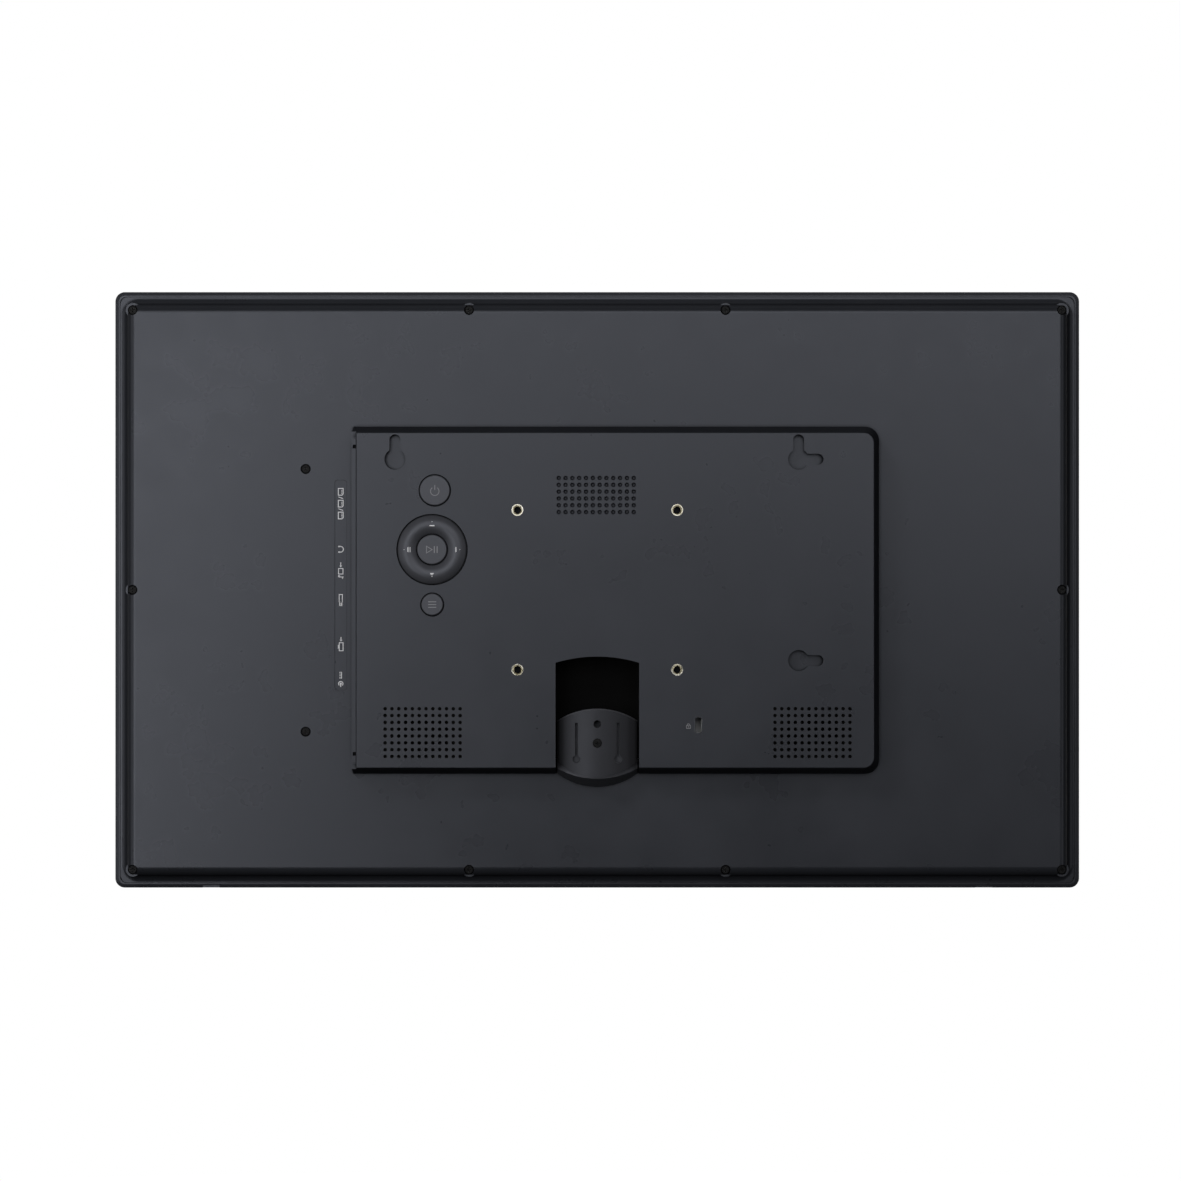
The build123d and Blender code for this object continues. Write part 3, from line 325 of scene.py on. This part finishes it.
CHARCOAL = (0.015, 0.016, 0.019)
CHARCOAL_LIGHT = (0.0175, 0.0185, 0.022)
COOL = (0.84, 0.88, 1.0)
finishes = {
    "shell_plastic": moulded_plastic("shell_plastic", CHARCOAL, CHARCOAL_LIGHT, 0.29,
                                     edge=(0.04, 0.04, 0.045), tint=COOL, matt_shaded_walls=True, painted_shade_reach=3.0),
    "bezel_plastic": moulded_plastic("bezel_plastic", (0.018, 0.019, 0.022), (0.021, 0.022, 0.026), 0.29,
                                     edge=(0.02, 0.02, 0.023), tint=COOL, matt_shaded_walls=True),
    "control_plastic": moulded_plastic("control_plastic", (0.042, 0.043, 0.049), (0.046, 0.047, 0.053), 0.36,
                                       grain=0.2, edge=(0.06, 0.06, 0.064), edge_radius=0.15,
                                       tint=COOL, painted_shade_reach=1.5),
    # the hinge block: a grey plastic, made lighter as painted light from below on its down-facing band
    "hinge_plastic": moulded_plastic("hinge_plastic", (0.050, 0.051, 0.057), (0.056, 0.057, 0.063), 0.45,
                                     edge=(0.08, 0.08, 0.085), sheen=0.4, tint=COOL),
    "hinge_face": moulded_plastic("hinge_face", (0.018, 0.018, 0.020), (0.021, 0.021, 0.0235), 0.4,
                                  edge=(0.05, 0.05, 0.05), edge_radius=0.2, sheen=0.35, tint=COOL,
                                  painted_shade_reach=2.5),
    # the stand cavity's well: a black moulding, made far darker and duller than black plastic as painted shade
    # in the deep cavity
    "well_plastic": moulded_plastic("well_plastic", (0.0015, 0.0015, 0.0015), (0.0025, 0.0025, 0.0025),
                                    0.7, sheen=0.06),
    # black coated screws, made darker and almost without shine as painted shade in the wells they sit in
    "black_screws": painted_metal("black_screws", (0.006, 0.006, 0.0065), (0.30, 0.30, 0.30), 0.36, sheen=0.1),
    "nickel_inserts": bare_metal("nickel_inserts", (0.55, 0.50, 0.36), (0.90, 0.88, 0.78), 0.22,
                                 lines=(500.0, 3000.0, 500.0)),
    "sheet_steel": bare_metal("sheet_steel", (0.42, 0.43, 0.44), (0.60, 0.61, 0.62), 0.42),
    "hinge_steel": bare_metal("hinge_steel", (0.30, 0.30, 0.31), (0.48, 0.48, 0.49), 0.3,
                              lines=(40.0, 2000.0, 2000.0)),
    "zinc_screws": bare_metal("zinc_screws", (0.50, 0.50, 0.46), (0.70, 0.70, 0.66), 0.35),
    "screen_glass": screen_surface("screen_glass"),
    "clear_optics": diffusing_film("clear_optics"),
    "white_plastic": moulded_plastic("white_plastic", (0.66, 0.66, 0.63), (0.72, 0.72, 0.69), 0.45),
    "circuit_board": circuit_board("circuit_board"),
    "chip_black": moulded_plastic("chip_black", (0.014, 0.014, 0.014), (0.02, 0.02, 0.02), 0.55, grain=0.15),
    "fin_aluminium": bare_metal("fin_aluminium", (0.58, 0.59, 0.60), (0.72, 0.73, 0.74), 0.4),
    "ribbon_film": moulded_plastic("ribbon_film", (0.62, 0.61, 0.56), (0.70, 0.69, 0.64), 0.35),
    "wire_sleeve": moulded_plastic("wire_sleeve", (0.02, 0.02, 0.02), (0.03, 0.03, 0.03), 0.55),
    "socket_steel": bare_metal("socket_steel", (0.50, 0.50, 0.50), (0.70, 0.70, 0.70), 0.28),
    "socket_plastic": moulded_plastic("socket_plastic", (0.010, 0.010, 0.010), (0.015, 0.015, 0.015), 0.5),
    # black painted speaker steel, darkened and dulled further as painted shade behind the grille holes
    "speaker_steel": painted_metal("speaker_steel", (0.004, 0.004, 0.004), (0.3, 0.3, 0.3), 0.5, sheen=0.08),
    "speaker_cone": paper_cone("speaker_cone"),
    "magnet": bare_metal("magnet", (0.12, 0.12, 0.13), (0.2, 0.2, 0.21), 0.5),
    # black silicone gasket, darkened and dulled further as painted shade behind the grille holes
    "silicone": moulded_plastic("silicone", (0.004, 0.004, 0.004), (0.006, 0.006, 0.006), 0.7, depth=0.02,
                                sheen=0.1),
}
white_print = printed_ink("white_print", (0.80, 0.80, 0.82))
grey_print = printed_ink("grey_print", (0.26, 0.26, 0.275))
gold = bare_metal("gold_contacts", (0.60, 0.42, 0.16), (0.85, 0.64, 0.28), 0.25)

for subpart in frame["record"]["subparts"]:
    mesh = nodes[subpart["node"]].data
    mesh.materials.clear()
    mesh.materials.append(finishes[subpart["material_slot"]])


# ------------------------------------------------------------------ small mesh builders
def finish_piece(name, mesh_builder, material, body):
    """Turn a bmesh into a piece that rides on a body."""
    bmesh.ops.recalc_face_normals(mesh_builder, faces=mesh_builder.faces)
    mesh = bpy.data.meshes.new(name)
    mesh_builder.to_mesh(mesh)
    mesh_builder.free()
    mesh.materials.append(material)
    piece = bpy.data.objects.new(name, mesh)
    bpy.context.scene.collection.objects.link(piece)
    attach(piece, body)
    return piece


class Sign:
    """Flat printed sign: strokes and filled shapes in mm, turned and placed on a surface facing +Y."""

    def __init__(self, surface, origin=(0.0, 0.0), turn=0.0):
        self.builder = bmesh.new()
        self.surface = surface  # depth of the printed surface, as a number or a function of (u, v)
        self.move(origin, turn)

    def move(self, origin, turn=0.0):
        """Draw from here on round an origin in (u, v), turned by an angle in degrees."""
        self.origin = origin
        self.turn = radians(turn)

    def point(self, u, v, lift):
        """Place in the frame of a point of the drawing, lifted off the surface."""
        along = u * cos(self.turn) - v * sin(self.turn) + self.origin[0]
        up = u * sin(self.turn) + v * cos(self.turn) + self.origin[1]
        depth = self.surface(along, up) if callable(self.surface) else self.surface
        return Vector((-along * MM, depth + lift, up * MM))

    def fill(self, outline):
        """Closed shape, given as its corners, as a very thin solid."""
        rings = []
        for lift in (-SUNK, PRINT):
            rings.append([self.builder.verts.new(self.point(u, v, lift)) for u, v in outline])
        count = len(outline)
        self.builder.faces.new(rings[1])
        self.builder.faces.new(rings[0][::-1])
        for i in range(count):
            j = (i + 1) % count
            self.builder.faces.new((rings[0][i], rings[0][j], rings[1][j], rings[1][i]))

    def stroke(self, path, width, closed=False):
        """Band of a width along a path."""
        points = [Vector(p) for p in path]
        count = len(points)
        sides = ([], [])
        for i, point in enumerate(points):
            before = points[(i - 1) % count] if closed or i else point
            after = points[(i + 1) % count] if closed or i < count - 1 else point
            incoming = (point - before).normalized() if before != point else (after - point).normalized()
            outgoing = (after - point).normalized() if after != point else incoming
            tangent = (incoming + outgoing).normalized()
            normal = Vector((-tangent.y, tangent.x))
            reach = width / 2 / max(abs(normal.dot(Vector((-outgoing.y, outgoing.x)))), 0.5)
            sides[0].append(point + normal * reach)
            sides[1].append(point - normal * reach)
        last = count if closed else count - 1
        levels = []
        for lift in (-SUNK, PRINT):
            levels.append([[self.builder.verts.new(self.point(p.x, p.y, lift)) for p in side]
                           for side in sides])
        low, high = levels
        for i in range(last):
            j = (i + 1) % count
            self.builder.faces.new((high[0][i], high[0][j], high[1][j], high[1][i]))
            self.builder.faces.new((low[1][i], low[1][j], low[0][j], low[0][i]))
            self.builder.faces.new((low[0][i], low[0][j], high[0][j], high[0][i]))
            self.builder.faces.new((high[1][i], high[1][j], low[1][j], low[1][i]))
        if not closed:
            for i in (0, count - 1):
                self.builder.faces.new((low[0][i], low[1][i], high[1][i], high[0][i]))

    def arc(self, middle, radius, start, end, width, steps=24):
        """Band along an arc, in degrees; a full turn is closed."""
        closed = abs(end - start) >= 360
        count = steps if closed else steps + 1
        path = []
        for i in range(count):
            angle = radians(start + (end - start) * i / steps)
            path.append((middle[0] + radius * cos(angle), middle[1] + radius * sin(angle)))
        self.stroke(path, width, closed)

    def done(self, name, material, body):
        return finish_piece(name, self.builder, material, body)


def seen_from_behind(position):
    """(u, v) in mm of a point of the frame."""
    return (-position[0] / MM, position[2] / MM)


# ------------------------------------------------------------------ pictograms beside the ports
LINE = 0.38  # mm, width of a printed line
READING_DOWN = -90.0  # the strip is read from top to bottom


def cards_sign(sign):
    """Three memory cards, one behind the other."""
    for step in (-5.6, 0.0, 5.6):
        card = [(-1.6, -1.15), (-1.6, 1.15), (1.0, 1.15), (1.6, 0.55), (1.6, -1.15)]
        sign.stroke([(u + step, v) for u, v in card], LINE, closed=True)
        for contact in (-0.7, 0.0, 0.7):
            sign.stroke([(step + contact, 0.25), (step + contact, 0.75)], LINE * 0.8)
    for step in (-2.8, 2.8):
        sign.stroke([(step - 0.4, -1.1), (step + 0.4, 1.1)], LINE * 0.9)


def headphones_sign(sign):
    """Headband with two ear pads."""
    sign.arc((0, -0.1), 1.35, -25, 205, LINE, steps=18)
    for side in (-1, 1):
        sign.fill([(side * 1.0, -1.2), (side * 1.65, -1.2), (side * 1.65, -0.2), (side * 1.0, -0.2)])


def sound_picture_sign(sign):
    """Arrow into a picture and a note: sound and picture in."""
    sign.stroke([(-3.9, 0), (-2.1, 0)], LINE)
    sign.fill([(-2.4, 0.65), (-1.5, 0.0), (-2.4, -0.65)])
    sign.stroke([(-1.0, -1.05), (-1.0, 1.05), (1.6, 1.05), (1.6, -1.05)], LINE, closed=True)
    sign.arc((2.65, -0.75), 0.35, 0, 360, LINE, steps=10)
    sign.stroke([(3.0, -0.75), (3.0, 1.1), (3.8, 0.7)], LINE)


def stick_sign(sign):
    """Memory stick with its plug."""
    sign.stroke([(-2.6, -0.75), (-2.6, 0.75), (0.9, 0.75), (0.9, -0.75)], LINE, closed=True)
    sign.stroke([(0.9, -0.5), (0.9, 0.5), (2.6, 0.5), (2.6, -0.5)], LINE, closed=True)
    for v in (-0.2, 0.2):
        sign.stroke([(1.5, v), (2.1, v)], LINE * 0.6)


def display_sign(sign):
    """Arrow into a screen on a foot."""
    sign.stroke([(-3.9, 0.1), (-2.3, 0.1)], LINE)
    sign.fill([(-2.6, 0.75), (-1.7, 0.1), (-2.6, -0.55)])
    sign.stroke([(-1.2, -0.7), (-1.2, 1.1), (2.6, 1.1), (2.6, -0.7)], LINE, closed=True)
    sign.stroke([(0.7, -0.7), (0.7, -1.1)], LINE)
    sign.stroke([(-0.2, -1.15), (1.6, -1.15)], LINE)


def direct_current_sign(sign):
    """Solid line over a dashed line, and a round plug with its pin."""
    sign.stroke([(-3.6, 0.35), (-0.4, 0.35)], LINE)
    for start in (-3.6, -2.4, -1.2):
        sign.stroke([(start, -0.35), (start + 0.8, -0.35)], LINE)
    sign.arc((2.0, 0.0), 1.05, 40, 320, LINE, steps=16)
    sign.arc((2.0, 0.0), 0.32, 0, 360, LINE, steps=10)
    sign.stroke([(2.3, 0.0), (3.6, 0.0)], LINE)


strip = Sign(LABEL_FLOOR)
for mount_name, draw in (
    ("card_slot", cards_sign),
    ("headphone_out", headphones_sign),
    ("av_in", sound_picture_sign),
    ("usb_in", stick_sign),
    ("video_in", display_sign),
    ("dc_in", direct_current_sign),
):
    strip.move((-LABEL_X / MM, mounts[mount_name]["pos_m"][2] / MM), READING_DOWN)
    draw(strip)
strip.done("port_pictograms", white_print, "frame")

# ------------------------------------------------------------------ signs on the controls
power_sign = Sign(rear("power_button"), seen_from_behind(centre("power_button")))
power_sign.arc((0, -0.4), 2.0, -235, 55, 0.4)
power_sign.stroke([(0, 0.2), (0, 2.5)], 0.4)
power_sign.done("power_sign", grey_print, "power_button")

ok_sign = Sign(rear("ok_button"), seen_from_behind(centre("ok_button")))
ok_sign.stroke([(-2.6, -1.6), (-2.6, 1.6), (0.1, 0.0)], 0.36, closed=True)
for bar in (1.1, 2.4):
    ok_sign.stroke([(bar, -1.6), (bar, 1.6)], 0.5)
ok_sign.done("play_pause_sign", grey_print, "ok_button")

menu_sign = Sign(rear("menu_button"), seen_from_behind(centre("menu_button")))
for row in (-1.3, 0.0, 1.3):
    menu_sign.stroke([(-1.9, row), (1.9, row)], 0.4)
menu_sign.done("menu_sign", grey_print, "menu_button")


def circle_through(a, b, c):
    """Centre and radius of the circle through three points."""
    d = 2 * (a[0] * (b[1] - c[1]) + b[0] * (c[1] - a[1]) + c[0] * (a[1] - b[1]))
    squares = [p[0] ** 2 + p[1] ** 2 for p in (a, b, c)]
    x = (squares[0] * (b[1] - c[1]) + squares[1] * (c[1] - a[1]) + squares[2] * (a[1] - b[1])) / d
    y = (squares[0] * (c[0] - b[0]) + squares[1] * (a[0] - c[0]) + squares[2] * (b[0] - a[0])) / d
    return x, y, sqrt((a[0] - x) ** 2 + (a[1] - y) ** 2)


NAV_CENTRE = seen_from_behind(centre("nav_ring"))
RING_PROFILE = ((7.43, -0.4), (11.6, 1.0), (16.3, -0.7))  # radius and depth of its domed face, mm
ring_x, ring_y, ring_r = circle_through(*RING_PROFILE)


def ring_surface(u, v):
    """Depth of the navigation ring's domed face."""
    out = sqrt((u - NAV_CENTRE[0]) ** 2 + (v - NAV_CENTRE[1]) ** 2)
    return (ring_y + sqrt(ring_r ** 2 - (out - ring_x) ** 2)) * MM


ring_signs = Sign(ring_surface, NAV_CENTRE)
for turn, size in ((0, 1.5), (90, 1.5), (180, 1.5), (270, 1.1)):
    ring_signs.move(NAV_CENTRE, turn)
    ring_signs.fill([(11.9 + size, 0.0), (11.0, 0.85 * size), (11.0, -0.85 * size)])
ring_signs.move(NAV_CENTRE, 180)
ring_signs.fill([(10.1, 1.2), (10.45, 1.2), (10.45, -1.2), (10.1, -1.2)])
ring_signs.done("direction_signs", white_print, "nav_ring")

lock_at = mounts["lock_slot"]["pos_m"]
lock_sign = Sign(HOUSING_REAR, (-lock_at[0] / MM - 4.7, lock_at[2] / MM - 0.4))
lock_sign.stroke([(-0.9, -1.1), (-0.9, 0.3), (0.9, 0.3), (0.9, -1.1)], 0.26, closed=True)
lock_sign.arc((0, 0.4), 0.62, 0, 180, 0.26, steps=12)
lock_sign.fill([(-0.18, -0.65), (0.18, -0.65), (0.18, -0.15), (-0.18, -0.15)])
lock_sign.done("lock_sign", grey_print, "frame")


# ------------------------------------------------------------------ contacts in the sockets
SOCKET_Y = mounts["usb_in"]["pos_m"][1]  # middle of the sockets, which stand in a row


def contacts(name, node, count, pitch, width, reach, height):
    """Gold blades side by side on a socket's tongue, each with a turned-down tip.

    All in mm: reach is where a blade starts and ends behind the socket's mouth, and height the
    depth of its two faces from the middle of the sockets.
    """
    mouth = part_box(node)[1].x
    middle = centre(node)
    tip, root = (mouth - distance * MM for distance in reach)
    low, high = (SOCKET_Y + distance * MM for distance in height)
    profile = [(tip, low), (tip, high - 0.1 * MM), (tip - 0.5 * MM, high), (root, high), (root, low)]
    builder = bmesh.new()
    for i in range(count):
        z = middle.z + (i - (count - 1) / 2) * pitch * MM
        rings = []
        for side in (-0.5, 0.5):
            rings.append([builder.verts.new((x, y, z + side * width * MM)) for x, y in profile])
        builder.faces.new(rings[0])
        builder.faces.new(rings[1][::-1])
        for a in range(len(profile)):
            b = (a + 1) % len(profile)
            builder.faces.new((rings[0][a], rings[1][a], rings[1][b], rings[0][b]))
    return finish_piece(name, builder, gold, "frame")


contacts("usb_contacts", "usb_socket", 4, 2.2, 1.1, (2.0, 10.0), (0.9, 1.15))
contacts("video_contacts", "hdmi_socket", 10, 1.0, 0.45, (1.8, 10.0), (0.45, 0.65))
contacts("card_contacts", "card_socket", 9, 2.5, 1.0, (9.0, 15.5), (-1.25, -0.9))


# ------------------------------------------------------------------ threads
THREAD_HEIGHT = 0.28  # mm
THREAD_LEAD = 0.45  # mm, plain bore before the first turn


def thread(name, points, bore, depth, pitch):
    """Helical ridges standing in from round bores along Y, in mm, that fade in and out over a turn."""
    builder = bmesh.new()
    steps = 28
    turns = depth / pitch
    root, half_width = bore + 0.02, pitch * 0.38
    for u, v in points:
        previous = None
        for i in range(int(turns * steps) + 1):
            angle = 2 * pi * i / steps
            y = -THREAD_LEAD - pitch * i / steps
            fade = min(1.0, i / steps, (turns * steps - i) / steps)
            ring = []
            crest = bore - THREAD_HEIGHT * fade
            for radius, offset in ((root, half_width), (crest, 0.0), (root, -half_width)):
                ring.append(builder.verts.new(((-u + radius * cos(angle)) * MM, (y + offset) * MM,
                                               (v + radius * sin(angle)) * MM)))
            if previous is not None:
                for a in range(3):
                    b = (a + 1) % 3
                    builder.faces.new((previous[a], previous[b], ring[b], ring[a]))
            else:
                builder.faces.new(ring)
            previous = ring
        builder.faces.new(previous[::-1])
    return finish_piece(name, builder, finishes["nickel_inserts"], "frame")


wall_holes = mounts["vesa_holes"]["dims"]
half_spacing = wall_holes["spacing_x_mm"] / 2
corners = [(across * half_spacing, up * half_spacing) for across in (-1, 1) for up in (-1, 1)]
thread("insert_threads", corners, wall_holes["hole_r_mm"], 6.6, 0.7)

# ------------------------------------------------------------------ floor, light and camera
CAMERA_DISTANCE = 2.0
VIEW_WIDTH = 0.5544  # width of the picture at the housing's rear face
SENSOR = 36.0
AIM_X, AIM_Z = 3.2 * MM, -0.3 * MM


def aim(thing, target):
    """Turn a camera or a light towards a point."""
    thing.rotation_euler = (Vector(target) - thing.location).to_track_quat("-Z", "Y").to_euler()


camera_data = bpy.data.cameras.new("camera")
camera_data.sensor_width = SENSOR
camera_data.lens = SENSOR * CAMERA_DISTANCE / VIEW_WIDTH
camera_data.clip_end = 50.0
camera = bpy.data.objects.new("camera", camera_data)
camera.location = (AIM_X, CAMERA_DISTANCE, AIM_Z)
aim(camera, (AIM_X, 0.0, AIM_Z))
bpy.context.scene.collection.objects.link(camera)
bpy.context.scene.camera = camera


def softbox(name, place, size, power):
    """White rectangular light in watts, aimed at the origin."""
    data = bpy.data.lights.new(name, "AREA")
    data.shape = "RECTANGLE"
    data.size, data.size_y = size
    data.energy = power
    light = bpy.data.objects.new(name, data)
    light.location = place
    aim(light, (0.0, 0.0, 0.0))
    bpy.context.scene.collection.objects.link(light)
    return light


# the first seven light the back, the last three the screen
softbox("key", (-0.1, 2.3, 0.64), (2.2, 1.1), 15.0)
softbox("upper_left", (1.3, 1.6, 1.4), (0.5, 0.5), 24.0).visible_glossy = False
softbox("left_front", (0.82, 2.0, -0.12), (1.0, 0.85), 7.0)
softbox("right_front", (-0.65, 2.1, 0.0), (0.5, 0.5), 0.35)
softbox("left", (2.3, 1.5, 0.1), (1.2, 1.8), 5.0)
softbox("right", (-2.3, 1.7, 0.0), (1.0, 1.8), 3.0)
softbox("overhead", (0.0, 0.0, 2.4), (2.0, 1.2), 1.2)
softbox("screen_top", (-1.2, -2.0, 1.2), (1.2, 1.2), 30.0)
softbox("screen_left", (1.9, -1.9, -0.3), (1.3, 1.6), 6.0)
softbox("screen_right", (-1.9, -1.9, -0.3), (1.3, 1.6), 6.0)

# a world that is white to the camera and gives only a dim, cool fill light
world = bpy.data.worlds.new("studio")
world.use_nodes = True
bpy.context.scene.world = world
tree = world.node_tree
tree.nodes.clear()
world_output = tree.nodes.new("ShaderNodeOutputWorld")
mixer = tree.nodes.new("ShaderNodeMixShader")
path = tree.nodes.new("ShaderNodeLightPath")
dim = tree.nodes.new("ShaderNodeBackground")
dim.inputs["Color"].default_value = (0.9, 0.93, 1.0, 1.0)
dim.inputs["Strength"].default_value = 0.03
pale = tree.nodes.new("ShaderNodeBackground")
pale.inputs["Color"].default_value = (1.0, 1.0, 1.0, 1.0)
tree.links.new(path.outputs["Is Camera Ray"], mixer.inputs[0])
tree.links.new(dim.outputs[0], mixer.inputs[1])
tree.links.new(pale.outputs[0], mixer.inputs[2])
tree.links.new(mixer.outputs[0], world_output.inputs["Surface"])

FLOOR_RADIUS = 3.5
FLOOR_DROP = 0.75  # below the origin
floor_mesh = bmesh.new()
bmesh.ops.create_circle(floor_mesh, cap_ends=True, segments=96, radius=FLOOR_RADIUS)
floor_data = bpy.data.meshes.new("floor")
floor_mesh.to_mesh(floor_data)
floor_mesh.free()
floor = bpy.data.objects.new("floor", floor_data)
floor.location = (0.0, 0.0, -FLOOR_DROP)
pale_floor = Nodes("pale_floor")
pale_floor.set(
    Base_Color=pale_floor.blend(pale_floor.noise(3.0), (0.80, 0.80, 0.80), (0.84, 0.84, 0.84)),
    Roughness=0.7,
    Emission_Color=(1.0, 1.0, 1.0),
    Emission_Strength=1.0,
)
floor_data.materials.append(pale_floor.material)
bpy.context.scene.collection.objects.link(floor)
floor.visible_glossy = False  # the underside of the frame stays dark
floor.visible_diffuse = False

bpy.context.scene.view_settings.view_transform = "Standard"
bpy.context.scene.view_settings.look = "None"
